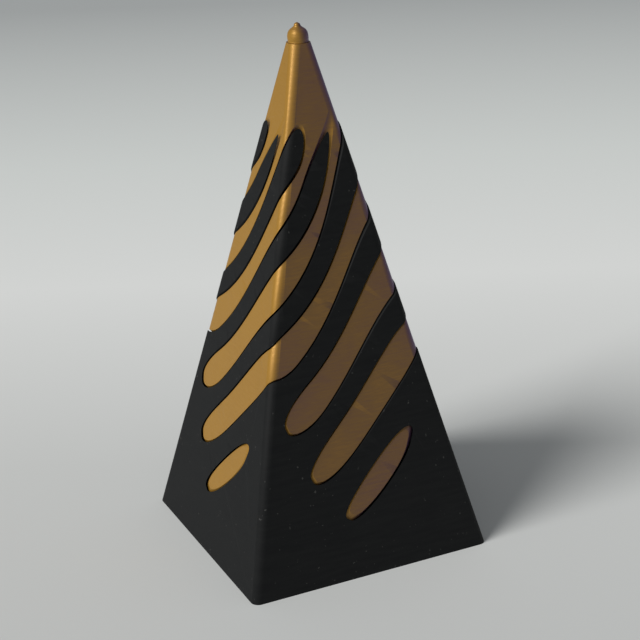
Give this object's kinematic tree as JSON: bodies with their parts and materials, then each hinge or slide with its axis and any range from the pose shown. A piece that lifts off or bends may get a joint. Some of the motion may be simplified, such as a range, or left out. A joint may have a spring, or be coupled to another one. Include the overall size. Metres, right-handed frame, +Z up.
{
  "type": "pyramid twisty puzzle",
  "caption": "Square pyramid puzzle split by a helix into a lobed core and a slotted shell; the core turns as it rises and screws right out of the shell.",
  "frame": {"origin": "centre of the square base, on the surface that both pieces stand on", "axes": "+Z up along the screw axis to the tip; X and Y square to the faces of the base"},
  "size_m": [0.049, 0.049, 0.1],
  "materials": {
    "black_plastic": "matte printed plastic with very fine layer lines",
    "gold_plastic": "satin two-colour silk printed plastic: gold, with violet bands and violet on the edges that face +X"
  },
  "bodies": {
    "shell": {"outer_shell": "black_plastic"},
    "tip": {"tip_bead": "gold_plastic"},
    "core": {"inner_core": "gold_plastic"}
  },
  "joints": [
    {"name": "lift", "type": "slide", "parent": "shell", "child": "tip", "axis": [0, 0, 1], "range_m": [0, 0.1]},
    {"name": "twist", "type": "hinge", "parent": "tip", "child": "core", "pos_m": [0, 0, 0], "axis": [0, 0, 1], "range_deg": [0, 329]}
  ],
  "couplings": [
    {"joint": "twist", "follows": "lift", "rad_per_m": 57.381}
  ]
}
